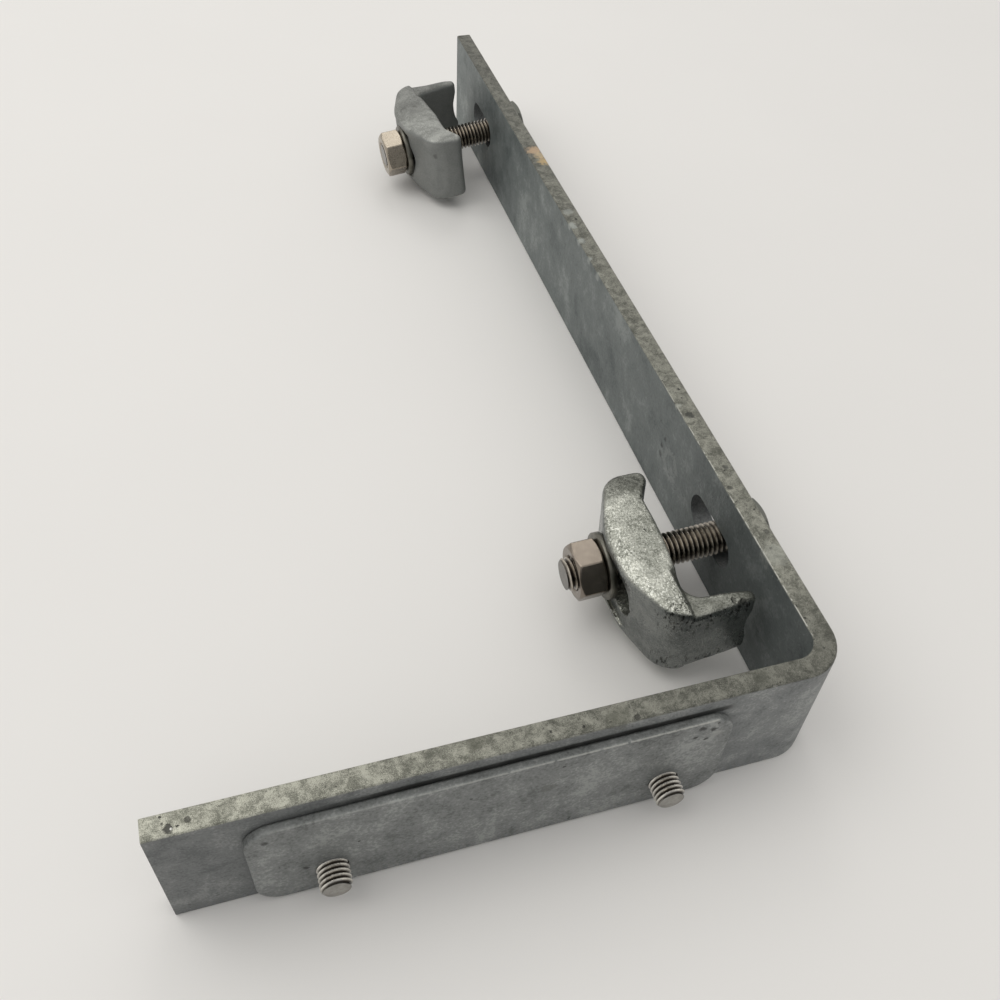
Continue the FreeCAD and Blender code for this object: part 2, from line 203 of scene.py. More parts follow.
class Graph:
    """Adds and joins the nodes of one shader tree."""

    def __init__(self, tree: Tree) -> None:
        """Keeps the tree that the nodes go into."""
        self.tree = tree

    def add(self, kind: str, **settings: object) -> Node:
        """Adds a node.

        Args:
            kind: Blender's name for the kind of node.
            settings: properties of the node to set.

        Returns:
            The new node.
        """
        node = self.tree.nodes.new(kind)
        for name, value in settings.items():
            setattr(node, name, value)
        return node

    def feed(self, socket: Socket, value: object) -> None:
        """Joins an output to a socket, or sets the socket to a plain value."""
        if isinstance(value, Wire):
            self.tree.links.new(value.socket, socket)
        elif socket.type == "RGBA":
            socket.default_value = (*value, 1.0)
        else:
            socket.default_value = value

    def math(self, operation: str, *values: Value) -> Wire:
        """Returns what the Math node makes of one or more numbers."""
        node = self.add("ShaderNodeMath", operation=operation)
        for socket, value in zip(node.inputs, values):
            self.feed(socket, value)
        return Wire(self, node.outputs[0])

    def mix(self, share: Value, first: Tint, second: Tint) -> Wire:
        """Blends two colours.

        Args:
            share: how much of the second shows.
            first: colour underneath.
            second: colour laid over it.

        Returns:
            The blended colour.
        """
        node = self.add("ShaderNodeMix", data_type="RGBA")
        for index, value in zip((MIX_SHARE, MIX_FIRST, MIX_SECOND), (share, first, second)):
            self.feed(node.inputs[index], value)
        return Wire(self, node.outputs[MIX_COLOUR])

    def coordinates(self, name: str) -> Wire:
        """Returns one of the texture coordinates."""
        return Wire(self, self.add("ShaderNodeTexCoord").outputs[name])

    def place(self, group: Tree, **values: object) -> dict[str, Wire]:
        """Places a shared effect.

        Args:
            group: the node group that makes it.
            values: its inputs by name.

        Returns:
            Its outputs by name.
        """
        node = self.add("ShaderNodeGroup", node_tree=group)
        for name, value in values.items():
            self.feed(node.inputs[name], value)
        return {socket.name: Wire(self, socket) for socket in node.outputs}


class Group(Graph):
    """A shared effect in the making, as a node group with named inputs and outputs."""

    def __init__(self, name: str, **inputs: object) -> None:
        """Starts a group.

        Args:
            name: the group's name.
            inputs: each input's default: a number, a colour, or None for a place.
        """
        super().__init__(bpy.data.node_groups.new(name, "ShaderNodeTree"))
        for label, default in inputs.items():
            kind = "Vector" if default is None else "Color" if isinstance(default, tuple) else "Float"
            socket = self.tree.interface.new_socket(
                name=label, in_out="INPUT", socket_type=f"NodeSocket{kind}")
            if default is not None:
                socket.default_value = (*default, 1.0) if kind == "Color" else default
        self.given = [Wire(self, socket) for _, socket in zip(inputs, self.add("NodeGroupInput").outputs)]

    def close(self, **outputs: Wire) -> Tree:
        """Ends the group.

        Args:
            outputs: what it gives, by name; only one called Color is a colour.

        Returns:
            The node group.
        """
        for label in outputs:
            kind = "NodeSocketColor" if label == "Color" else "NodeSocketFloat"
            self.tree.interface.new_socket(name=label, in_out="OUTPUT", socket_type=kind)
        wanted = self.add("NodeGroupOutput").inputs
        for label, wire in outputs.items():
            self.feed(wanted[label], wire)
        return self.tree


def mottle_group() -> Tree:
    """Cloudy zinc: large soft blotches, smaller ones in them, and fine grain."""
    group = Group("zinc_mottle", Place=None, Blotch=14.0, Contrast=1.0, Grain=0.45, Dark=PLAIN_GREY,
                  Middle=PLAIN_GREY, Pale=PLAIN_GREY)
    place, blotch, contrast, grain, dark, middle, pale = group.given
    large = place.noise(blotch, 4.0, 0.6, 0.5)
    small = place.noise(blotch * 0.22, 4.0, 0.65)
    fine = place.noise(blotch * 0.05, 2.0, 0.6)
    centred = small * 0.6 + large * 1.3 - 0.95 + (fine - 0.5) * grain
    tone = centred * (contrast * 1.6) + 0.5
    tone = (tone | 0.0).math("MINIMUM", 1.0)
    lower = group.mix(tone.step(0.0, 0.5), dark, middle)
    return group.close(Color=group.mix(tone.step(0.5, 1.0), lower, pale), Tone=tone)


def speck_group() -> Tree:
    """Small ragged specks, one in some of the cells that a surface is divided into."""
    group = Group("specks", Place=None, Spacing=5.0, Share=0.3, Size=0.6)
    place, spacing, share, size = group.given
    cells = group.add("ShaderNodeTexVoronoi", voronoi_dimensions="3D", feature="F1")
    group.feed(cells.inputs["Vector"], place)
    group.feed(cells.inputs["Scale"], group.math("DIVIDE", 1.0, spacing))
    away, cell = (Wire(group, cells.outputs[name]) for name in ("Distance", "Color"))
    ragged = away * spacing + (place.noise(size * 1.4, 3.0, 0.6) - 0.5) * (size * 2.6)
    chance, spread, _ = cell.parts()
    radius = size * spread.between(0.45, 1.35)
    return group.close(Mask=ragged.step(radius, radius * 0.45) * chance.math("LESS_THAN", share))


def edge_sheen_and_wear_group() -> Tree:
    """A bright line along an edge, partly wear and partly a painted highlight of the rounded edge, broken in
    runs.
    """
    group = Group("edge_sheen_and_wear", Place=None, Away=0.0, Width=0.8, Run=9.0, Cover=0.5)
    place, away, width, run, cover = group.given
    wide = width * place.noise(width * 2.5, 3.0, 0.6).between(0.3, 1.9)
    edge = cover.between(0.68, 0.32)
    kept = place.noise(run, 4.0, 0.7).step(edge, edge + 0.1)
    return group.close(Mask=away.step(wide, wide * 0.35) * kept)


def satin_group() -> Tree:
    """Satin steel: faint turning marks round Z, a cloudy tone and fine smears."""
    group = Group("satin_steel", Place=None, Dark=PLAIN_GREY, Pale=PLAIN_GREY, Smooth=0.2, Dull=0.4)
    place, dark, pale, smooth, dull = group.given
    clouds = place.noise(3.0, 4.0, 0.6)
    marks = place.stretched((1.0, 1.0, 6.0)).noise(0.5, 2.0, 0.5)
    colour = group.mix((clouds + marks * 0.35).step(0.42, 0.95), dark, pale)
    return group.close(Color=colour, Roughness=clouds.between(smooth, dull), Height=marks)


@dataclass
class Effects:
    """The shader node groups that several finishes share."""

    mottle: Tree = field(default_factory=mottle_group)
    specks: Tree = field(default_factory=speck_group)
    edge_sheen_and_wear: Tree = field(default_factory=edge_sheen_and_wear_group)
    satin: Tree = field(default_factory=satin_group)


@dataclass(frozen=True)
class Blemish:
    """One mark that can be told from the rest of a zinc coat."""

    place: tuple[float, float, float]
    radius: float
    tint: Colour
    strength: float = 0.9
    depth: float = 0.0
    ring: bool = False


def marks(*rows: tuple[float, ...]) -> tuple[Blemish, ...]:
    """Makes marks.

    Args:
        rows: for each its X, Y, Z and radius, its red, green and blue, and what else a mark can have.

    Returns:
        The marks.
    """
    return tuple(Blemish(row[:3], row[3], row[4:7], *row[7:]) for row in rows)


@dataclass(frozen=True)
class Mottle:
    """Mottled zinc: its dark, middle and pale colour, and its blotches in millimetres."""

    tones: tuple[Colour, Colour, Colour]
    blotch: float
    contrast: float
    grain: float


class Skin(Graph):
    """A material in the making: its colour, its relief and the place on the piece in millimetres."""

    def __init__(self, name: str, effects: Effects) -> None:
        """Starts a material.

        Args:
            name: the material's name.
            effects: the shared node groups.
        """
        self.material = bpy.data.materials.new(name)
        self.material.use_nodes = True
        self.material.node_tree.nodes.clear()
        super().__init__(self.material.node_tree)
        self.effects = effects
        self.surface = self.add("ShaderNodeBsdfPrincipled")
        output = self.add("ShaderNodeOutputMaterial")
        self.feed(output.inputs["Surface"], Wire(self, self.surface.outputs[0]))
        self.spot = self.coordinates("Object").scaled(1 / MM)
        self.colour: Tint = PLAIN_GREY
        self.relief: Value = 0.0

    def cloud(self, size: float, detail: float, roughness: float = 0.6) -> Wire:
        """Returns cloudy noise over the piece, with lumps of a size in millimetres."""
        return self.spot.noise(size, detail, roughness)

    def zinc(self, mottle: Mottle) -> tuple[Wire, Wire]:
        """Returns a mottle's colour, and its tone from 0 to 1."""
        dark, middle, pale = mottle.tones
        made = self.place(self.effects.mottle, Place=self.spot, Dark=dark, Middle=middle, Pale=pale,
                          Blotch=mottle.blotch, Contrast=mottle.contrast, Grain=mottle.grain)
        return made["Color"], made["Tone"]

    def dots(self, spacing: float, size: float, share: Value, squeeze: float = 1.0) -> Wire:
        """Returns where specks show.

        Args:
            spacing: size of the cells that hold one speck at most.
            size: the specks' radius.
            share: share of the cells that hold one.
            squeeze: factor on the place along Y, below 1 for long specks.

        Returns:
            A mask.
        """
        place = self.spot.stretched((1.0, squeeze, 1.0)) if squeeze != 1.0 else self.spot
        return self.place(self.effects.specks, Place=place, Spacing=spacing, Size=size, Share=share)["Mask"]

    def bright_edge_line(self, away: Wire, width: float, run: float, cover: float) -> Wire:
        """Returns where a broken bright line shows: wear and a painted highlight along an edge.

        Args:
            away: distance from the edge that it follows.
            width: its width.
            run: how far it and its gaps run.
            cover: share of the edge that it covers.

        Returns:
            A mask.
        """
        inputs = {"Place": self.spot, "Away": away, "Width": width, "Run": run, "Cover": cover}
        return self.place(self.effects.edge_sheen_and_wear, **inputs)["Mask"]

    def paint(self, mask: Value, tint: Tint) -> None:
        """Lays a colour over what is there, where a mask shows it."""
        self.colour = self.mix(mask, self.colour, tint)

    def coat_relief(self, pits: Wire, waves: float) -> None:
        """Sets a zinc coat's relief: waves of a size in millimetres, sunk pits and fine grain."""
        self.relief = pits * -0.8 + self.cloud(waves, 4.0) + self.cloud(0.8, 3.0) * 0.35

    def mark(self, blemishes: Iterable[Blemish]) -> None:
        """Lays single marks over the colour and the relief."""
        wobble = self.cloud(1.4, 3.0, 0.65) - 0.5
        for blemish in blemishes:
            away = self.spot.reach(blemish.place) + wobble * (blemish.radius * 1.5)
            if blemish.ring:
                away = abs(away - blemish.radius) * 3.0
            mask = away.step(blemish.radius, blemish.radius * 0.4)
            self.paint(mask * blemish.strength, blemish.tint)
            if blemish.depth:
                self.relief += mask * blemish.depth

    def close(self, dullness: Wire, metallic: float, depth: float) -> Material:
        """Gives the material's surface its looks.

        Args:
            dullness: its roughness.
            metallic: its share of bare metal.
            depth: the relief's full height in millimetres.

        Returns:
            The material.
        """
        bump = self.add("ShaderNodeBump")
        bump.inputs["Distance"].default_value = depth * MM
        self.feed(bump.inputs["Height"], self.relief)
        looks = {"Base Color": self.colour, "Roughness": dullness, "Metallic": metallic,
                 "Normal": Wire(self, bump.outputs[0])}
        for name, value in looks.items():
            self.feed(self.surface.inputs[name], value)
        return self.material


@dataclass(frozen=True)
class FaceTone(Mottle):
    """Zinc on one side of the bar, with painted light and shade: the side's own tones, and how much brighter
    or darker they are painted along the two legs.
    """

    short_leg_light: tuple[float, float]
    long_leg_light: tuple[float, float]

    def colour(self, skin: Skin, outward: tuple[Wire, Wire], turned: Wire) -> Wire:
        """Makes the side's zinc, with its painted light and shade.

        Args:
            skin: the bar's material.
            outward: how far out along the short and along the long leg, each from 0 to 1.
            turned: 0 on the short leg, 1 on the long one.

        Returns:
            The mottle's colour, brightened or dimmed as painted light and shade.
        """
        painted_light_gain = turned.between(outward[0].between(*self.short_leg_light), outward[1].between(*self.long_leg_light))
        return skin.zinc(self)[0].scaled(painted_light_gain)


@dataclass(frozen=True)
class BarFinish:
    """Hot-dipped zinc on the bent bar, in the frame of its outside corner."""

    # The faces' tones are partly the zinc's own colour and partly painted light and shade: the top is
    # painted pale where the light falls on it, the outer face darker and the inner face darkest in their
    # shade. The gains along the legs and at the bend paint brighter and darker light along the bar.
    top: FaceTone = FaceTone(
        ((0.115, 0.117, 0.094), (0.245, 0.246, 0.205), (0.425, 0.424, 0.360)),
        2.9, 1.65, 2.0, (0.43, 1.37), (0.82, 0.39))
    outer: FaceTone = FaceTone(
        ((0.110, 0.117, 0.118), (0.165, 0.173, 0.172), (0.250, 0.258, 0.252)),
        14.0, 1.15, 0.8, (1.25, 1.0), (1.0, 1.0))
    inner: FaceTone = FaceTone(
        ((0.060, 0.071, 0.071), (0.101, 0.114, 0.112), (0.168, 0.183, 0.178)),
        20.0, 0.95, 0.5, (1.0, 1.0), (1.08, 1.65))
    bend_light: float = 1.1
    spatter: Colour = (0.30, 0.32, 0.31)
    # Colour of the bright edge lines, partly wear and partly painted highlight.
    sheen_and_wear: Colour = (0.58, 0.58, 0.53)
    pit: Colour = (0.026, 0.027, 0.023)
    # Colour of the painted shadow just above the plate.
    shade_and_grime: Colour = (0.020, 0.021, 0.019)
    roughness: tuple[float, float] = (0.62, 0.40)
    metallic: float = 0.35
    depth: float = 0.35
    plate_gap_shadow_height: float = 35.4
    legs: tuple[float, float] = (170.0, 350.0)
    turn: tuple[float, float] = (6.0, 36.0)
    blemishes: tuple[Blemish, ...] = marks(
        (-164.0, 1.8, 40.0, 1.3, 0.035, 0.035, 0.03, 0.9, -1.0),
        (-163.4, 1.6, 40.0, 0.4, 0.8, 0.8, 0.76, 0.9),
        (-159.8, 2.9, 40.0, 0.8, 0.045, 0.045, 0.036, 0.8, -1.0),
        (-3.6, 93.8, 40.0, 1.5, 0.04, 0.042, 0.036, 0.85, -1.0),
        (-5.2, 98.5, 39.6, 1.3, 0.36, 0.37, 0.33, 0.7, 0.5),
        (-2.5, 71.1, 40.0, 1.1, 0.05, 0.052, 0.045, 0.8, -1.0),
        (-4.6, 63.1, 40.0, 1.0, 0.05, 0.052, 0.045, 0.7, -1.0),
        (-5.2, 196.3, 39.8, 2.4, 0.34, 0.36, 0.34, 0.7, 0.4),
        (-5.4, 186.8, 39.6, 2.2, 0.34, 0.36, 0.34, 0.7, 0.4),
        (-6.0, 176.0, 39.0, 2.0, 0.32, 0.34, 0.32, 0.6, 0.4),
        (-6.0, 167.1, 38.5, 2.0, 0.32, 0.34, 0.32, 0.6, 0.4),
        (-3.6, 205.0, 40.0, 2.4, 0.3, 0.32, 0.3, 0.5),
        (-57.1, 0.9, 40.0, 0.9, 0.04, 0.04, 0.034, 0.8, -1.0),
        (-95.7, 4.9, 40.0, 3.4, 0.09, 0.092, 0.07, 0.6),
        (-61.7, 1.6, 40.0, 4.0, 0.1, 0.102, 0.078, 0.5),
        (-24.0, 3.4, 40.0, 3.0, 0.075, 0.078, 0.06, 0.5),
        (-1.6, 45.8, 40.0, 1.0, 0.06, 0.06, 0.052, 0.7, -1.0),
        (-3.0, 38.0, 40.0, 5.0, 0.36, 0.37, 0.33, 0.45),
        (-2.6, 248.8, 40.0, 3.6, 0.5, 0.35, 0.22, 0.75),
        (-1.2, 244.6, 40.0, 3.0, 0.52, 0.4, 0.24, 0.65),
        (-0.8, 240.2, 40.0, 3.6, 0.5, 0.36, 0.17, 0.75),
        (-6.0, 94.4, 18.6, 4.2, 0.24, 0.255, 0.245, 0.45, 0.3, True),
        (-6.0, 93.1, 17.4, 1.5, 0.24, 0.255, 0.245, 0.5),
        (-6.0, 101.6, 16.8, 1.3, 0.035, 0.037, 0.036, 0.75, -0.6),
        (-6.0, 101.6, 20.4, 1.2, 0.035, 0.037, 0.036, 0.7, -0.6),
        (-6.0, 100.4, 24.2, 1.1, 0.04, 0.042, 0.041, 0.65, -0.6))

    def plate_gap_shadow(self, skin: Skin, depth: Wire) -> Wire:
        """Returns the painted shadow on the outer face just above the plate, where the plate meets the bar.
        """
        across, _, height = skin.spot.parts()
        above = abs(height - self.plate_gap_shadow_height).step(1.5, 0.5)
        run = across.step(-148.0, -110.0) * across.step(-30.5, -34.0)
        return above * run * depth.step(0.5, 0.1) * skin.cloud(6.0, 3.0).between(0.7, 1.15)

    def bright_edges(self, skin: Skin, inner: Wire, outer: Wire) -> Wire:
        """Returns where the top's two edges show a bright line, partly wear and partly painted highlight.

        Args:
            skin: the bar's material.
            inner: distance from the top's inner edge.
            outer: distance from its outer edge.

        Returns:
            A mask.
        """
        along = skin.spot.parts()[1]
        bright = skin.bright_edge_line(inner, 0.24, 5.0, 0.72) * (along.step(6.0, 16.0) * along.step(125.0, 85.0))
        return bright | skin.bright_edge_line(outer, 0.3, 6.0, 0.4) * 0.4

    def faces(self, skin: Skin, inside: Wire, on_top: Wire) -> Wire:
        """Returns the zinc's colour on the bar's outer and inner face and on its top, each face toned with
        its painted light or shade, and the top with painted light at the bend.

        Args:
            skin: the bar's material.
            inside: 1 on the inner face.
            on_top: 1 on the top.

        Returns:
            The colour.
        """
        across, along, _ = skin.spot.parts()
        short, long = self.legs
        outward = ((across * (-1.0 / short) | 0.0).math("POWER", 1.5), along * (1.0 / long))
        turned = along.step(*self.turn)
        outer, inner, upper = (face.colour(skin, outward, turned)
                               for face in (self.outer, self.inner, self.top))
        # Painted light: the top's brightness is changed near the bend.
        bend_gain = (across * -1.0 | along).step(6.0, 34.0).between(self.bend_light, 1.0)
        return skin.mix(on_top, skin.mix(inside, outer, inner), upper.scaled(bend_gain))

    def build(self, effects: Effects, corner: Vector, top: float, thickness: float) -> Material:
        """Makes the bar's material.

        Args:
            effects: the shared node groups.
            corner: the bar's outside corner on the floor, in millimetres.
            top: the bar's height in millimetres.
            thickness: the bar's thickness in millimetres.

        Returns:
            The material.
        """
        skin = Skin("bar_zinc", effects)
        skin.spot = skin.spot.moved(tuple(-corner))
        across, along, height = skin.spot.parts()
        depth = (across * -1.0).math("MINIMUM", along)
        from_top, from_inside = top - height, thickness - depth
        inside, on_top = from_inside.step(0.5, 0.1), from_top.step(0.6, 0.2)
        skin.colour = self.faces(skin, inside, on_top)

        crowd = skin.cloud(9.0, 3.0).step(0.40, 0.62)
        crowd = crowd * (along * (1.0 / self.legs[1])).between(0.85, 0.2) * on_top.between(0.4, 1.0)
        sunk = skin.dots(3.4, 0.42, crowd.between(0.15, 0.85)) * on_top.between(0.35, 0.9)
        dust = skin.dots(1.3, 0.26, crowd.between(0.2, 0.9)) * on_top.between(0.35, 0.65)
        splashes = skin.dots(2.2, 0.3, along.step(110.0, 30.0).between(0.0, 0.35))
        edge = abs(from_top - 0.25)
        inner, outer = (edge + abs(away - 0.25) for away in (from_inside, depth))
        # The last mask paints the shadow on the outer face just above the plate.
        for mask, tint in ((splashes * inside.between(0.0, 0.4), self.spatter), (sunk, self.pit),
                           (dust, self.pit), (self.bright_edges(skin, inner, outer) * 0.8, self.sheen_and_wear),
                           (self.plate_gap_shadow(skin, depth), self.shade_and_grime)):
            skin.paint(mask, tint)
        skin.coat_relief(sunk, 7.0)
        skin.mark(self.blemishes)
        return skin.close(skin.cloud(4.0, 4.0).between(*self.roughness), self.metallic, self.depth)


@dataclass(frozen=True)
class PlateFinish:
    """Hot-dipped zinc on the tapped plate, in the frame of its middle."""

    zinc: Mottle = Mottle(
        ((0.130, 0.137, 0.133), (0.205, 0.214, 0.209), (0.310, 0.321, 0.311)), 15.0, 1.0, 0.9)
    # Colour of the bright line along the top edge, partly wear and partly painted highlight.
    sheen_and_wear: Colour = (0.50, 0.50, 0.46)
    pit: Colour = (0.030, 0.031, 0.027)
    roughness: tuple[float, float] = (0.58, 0.38)
    metallic: float = 0.35
    depth: float = 0.3
    blemishes: tuple[Blemish, ...] = marks(
        (50.5, -1.25, 15.0, 1.3, 0.028, 0.029, 0.026, 0.9, -1.0),
        (53.6, -1.25, 13.6, 1.0, 0.03, 0.031, 0.028, 0.9, -1.0),
        (49.2, -1.25, 11.4, 0.8, 0.035, 0.036, 0.032, 0.85, -1.0),
        (52.4, -1.25, 9.6, 0.7, 0.035, 0.036, 0.032, 0.85, -1.0),
        (55.0, -1.25, 11.0, 2.0, 0.36, 0.365, 0.345, 0.55),
        (-54.6, -1.25, 13.0, 1.0, 0.04, 0.041, 0.037, 0.8, -1.0),
        (12.0, -1.25, 5.0, 2.6, 0.085, 0.088, 0.08, 0.55),
        (-47.0, -1.25, -4.5, 0.9, 0.035, 0.036, 0.033, 0.8, -1.0))

    def build(self, effects: Effects, middle: Vector, half: Vector) -> Material:
        """Makes the plate's material.

        Args:
            effects: the shared node groups.
            middle: the plate's middle in millimetres.
            half: half its length, thickness and height in millimetres.

        Returns:
            The material.
        """
        skin = Skin("plate_zinc", effects)
        skin.spot = skin.spot.moved(tuple(-middle))
        length, thickness, height = skin.spot.parts()
        skin.colour, tone = skin.zinc(self.zinc)
        crowd = skin.spot.reach((half.x - 8.0, -half.y, half.z - 6.0)).step(20.0, 6.0)
        crowd |= skin.cloud(12.0, 3.0).step(0.5, 0.75)
        specks = skin.dots(3.8, 0.42, crowd.between(0.12, 0.6))
        dust = skin.dots(1.6, 0.2, crowd.between(0.1, 0.5))
        edge = abs(thickness + (half.y - 0.3)) + abs(height - (half.z - 0.3))
        # Painted highlight and wear: the bright line along the plate's top front edge, painted brighter
        # towards the bend.
        sheen_and_wear = skin.bright_edge_line(edge, 0.36, 2.5, 0.9) * length.step(-half.x, half.x).between(0.25, 0.75)
        for mask, tint in ((specks * 0.8, self.pit), (dust * 0.5, self.pit), (sheen_and_wear, self.sheen_and_wear)):
            skin.paint(mask, tint)
        skin.coat_relief(specks, 6.0)
        skin.mark(self.blemishes)
        return skin.close(tone.between(*self.roughness), self.metallic, self.depth)


@dataclass(frozen=True)
class CastFinish:
    """Zinc on a rough casting, in the claw's own frame: X to the bar, Y to its nose."""

    name: str
    zinc: Mottle
    # Pale painted glints: painted highlights on the grains of the upward faces.
    glint: Colour = (0.78, 0.79, 0.73)
    glint_share: float = 0.55
    pit: Colour = (0.022, 0.023, 0.020)
    pit_share: float = 0.5
    streaks: float = 0.95
    glint_ends: float = 0.15
    # The side colour, laid by side_shade_share, is painted shade on the claw's faces that do not face up.
    side: Colour = (0.135, 0.147, 0.150)
    side_shade_share: float = 0.75
    # Painted light and shade: how much brighter or darker the sides, the heel, the nose, the tail and the
    # back of the web are painted.
    side_light: float = 0.95
    nose_light: float = 0.48
    tail_light: float = 0.66
    back_light: float = 1.0
    grain_depth: float = 0.38
    roughness: tuple[float, float] = (0.38, 0.22)
    metallic: float = 0.85
    blemishes: tuple[Blemish, ...] = ()

    def ends(self, skin: Skin) -> tuple[Wire, Wire, Wire]:
        """Returns where the claw's nose, its tail and the back half of its web are, as masks."""
        across, along, _ = skin.spot.parts()
        tail = across.step(11.0, 12.4) * along.step(-14.0, -17.0)
        return along.step(8.0, 17.0), tail, along.step(0.5, -4.0)

    def tone(self, skin: Skin, upward: Wire) -> Wire:
        """Returns the painted light and shade over the claw's sides, nose, tail and web, as a factor on the
        zinc's colour.
        """
        nose, tail, back = self.ends(skin)
        painted_light_gain = nose.between(1.0, self.nose_light) * tail.between(1.0, self.tail_light)
        across, along, _ = skin.spot.parts()
        # The heel's outside is painted brighter, as painted light.
        heel = across.step(4.0, 24.0) * along.step(-24.0, -28.0)
        side = heel.between(self.side_light, self.side_light * 1.45)
        return upward.between(side, painted_light_gain * back.between(1.0, self.back_light))

    def painted_glints(self, skin: Skin, ends: Wire) -> Wire:
        """Returns where painted glints shine on the grains, most on the web's rounded border and lower end,
        where they catch the light.

        Args:
            skin: the claw's material.
            ends: 1 on the nose and the tail.

        Returns:
            A mask.
        """
        across, along, _ = skin.spot.parts()
        border = across.step(6.5, 1.5) | along.step(-14.0, -20.0)
        grains = skin.spot.stretched((1.0, 0.7, 1.0)).noise(0.6, 2.0, 0.65)
        return grains.step(0.53, 0.62) * border.between(0.5, 1.25) * ends.between(1.0, self.glint_ends)

    def heel_streaks(self, skin: Skin) -> Wire:
        """Returns the dark runs down the outside of the claw's heel."""
        _, along, height = skin.spot.parts()
        runs = skin.spot.stretched((1.0, 1.0, 0.35)).noise(0.9, 3.0, 0.65)
        heel = along.step(-23.0, -29.0) * abs(height).step(1.0, 11.0)
        return runs.step(0.54, 0.62) * heel * self.streaks

    def build(self, effects: Effects) -> Material:
        """Makes a claw's material.

        Args:
            effects: the shared node groups.

        Returns:
            The material.
        """
        skin = Skin(self.name, effects)
        skin.colour, tone = skin.zinc(self.zinc)
        upward = abs(skin.coordinates("Normal").parts()[2]).step(0.35, 0.8)
        nose, tail, _ = self.ends(skin)
        # Painted shade: the sides, which face away from the light, are darkened.
        skin.paint(upward.between(self.side_shade_share, 0.0), self.side)
        # Painted highlight: pale glints on the upward faces.
        skin.paint(self.painted_glints(skin, nose | tail) * upward * self.glint_share, self.glint)
        # Painted light and shade over the whole claw.
        skin.colour = skin.colour.scaled(self.tone(skin, upward))

        crowd = skin.cloud(6.0, 3.0).step(0.42, 0.66).between(0.15, 1.0)
        share = crowd * upward.between(0.3, 1.0) * tail.between(1.0, 0.15) * self.pit_share
        flakes = skin.dots(1.9, 0.30, share, 0.55)
        dust = skin.dots(1.1, 0.18, share)
        streaks = self.heel_streaks(skin) * (tail * upward).between(1.0, 0.12)
        skin.paint(flakes * 0.85 | dust * 0.6 | streaks, self.pit)
        grain = skin.cloud(0.9, 3.0, 0.65) * upward.between(0.3, 1.0)
        relief = flakes * -0.5 + grain + skin.cloud(3.0, 3.0) * 0.9
        skin.relief = relief * tail.between(1.0, 0.4)
        skin.mark(self.blemishes)
        return skin.close(tone.between(*self.roughness), self.metallic, self.grain_depth)


@dataclass(frozen=True)
class SteelFinish:
    """Plain stainless steel of a fastener, in its own frame with its line on Z."""

    name: str
    dark: Colour
    pale: Colour
    smooth: float
    dull: float
    relief: float = 0.03

    def build(self, effects: Effects) -> Material:
        """Makes a fastener's material.

        Args:
            effects: the shared node groups.

        Returns:
            The material.
        """
        skin = Skin(self.name, effects)
        steel = skin.place(effects.satin, Place=skin.spot, Dark=self.dark, Pale=self.pale,
                           Smooth=self.smooth, Dull=self.dull)
        skin.colour, skin.relief = steel["Color"], steel["Height"]
        return skin.close(self.over(skin, steel["Roughness"]), 1.0, self.relief)

    def over(self, skin: Skin, dullness: Wire) -> Wire:
        """Returns the roughness with what lies on the steel; on plain steel nothing does."""
        return dullness


@dataclass(frozen=True)
class ThreadFinish(SteelFinish):
    """Steel of a bolt or screw, with grime in the thread's roots and a duller head."""

    crest: float = 5.0
    root: float = 4.2
    end: float = -55.0
    end_tone: float = 0.22
    shade_and_grime: Colour = (0.045, 0.038, 0.031)
    head: Colour = (0.18, 0.184, 0.165)
    head_dullness: float = 0.6

    def over(self, skin: Skin, dullness: Wire) -> Wire:
        """Lays grime in the thread's roots, tones its end and the head, and returns the roughness."""
        height = skin.spot.parts()[2]
        radius = skin.spot.stretched((1.0, 1.0, 0.0)).reach((0.0, 0.0, 0.0))
        bare = radius.step(self.root, self.crest - 0.1)
        tip = height.step(self.end + 0.25, self.end + 0.15)
        colour = skin.mix(bare | tip, self.shade_and_grime, skin.colour)
        skin.colour = colour.scaled(tip.between(1.0, self.end_tone))
        on_head = height.step(0.02, 0.12)
        skin.paint(on_head, self.head)
        return dullness | on_head * self.head_dullness


def rotation(angle: float, axis: str) -> Matrix:
    """Returns a turn by an angle in degrees about one of the axes."""
    return Matrix.Rotation(math.radians(angle), 4, axis)


def put(name: str, data: bpy.types.ID) -> Object:
    """Adds an object to the scene."""
    made = bpy.data.objects.new(name, data)
    bpy.context.scene.collection.objects.link(made)
    return made


def polar(radius: float, angle: float, height: float) -> Vector:
    """Returns the point at a radius and an angle round Z."""
    return Vector((radius * math.cos(angle), radius * math.sin(angle), height))


def circle(radius: float, height: float, count: int) -> Ring:
    """Returns points round Z at a height."""
    return [polar(radius, 2 * math.pi * step / count, height) for step in range(count)]


def hexagon_ring(flats: float, face_radius: float, height: float, inward: float, count: int) -> Ring:
    """Returns the wavy edge where a hexagon meets the chamfer turned on it.

    Args:
        flats: the hexagon's width over its flats.
        face_radius: radius of the flat end face inside the chamfer.
        height: the end face's height.
        inward: 1 if the hexagon lies below the face, -1 if above.
        count: points in the ring.

    Returns:
        The ring's points.
    """
    points = []
    for step in range(count):
        angle = 2 * math.pi * step / count
        radius = flats / 2 / math.cos(angle % (math.pi / 3) - math.pi / 6)
        drop = max(radius - face_radius, 0.0) * math.tan(math.radians(CHAMFER_ANGLE))
        points.append(polar(radius, angle, height - inward * drop))
    return points


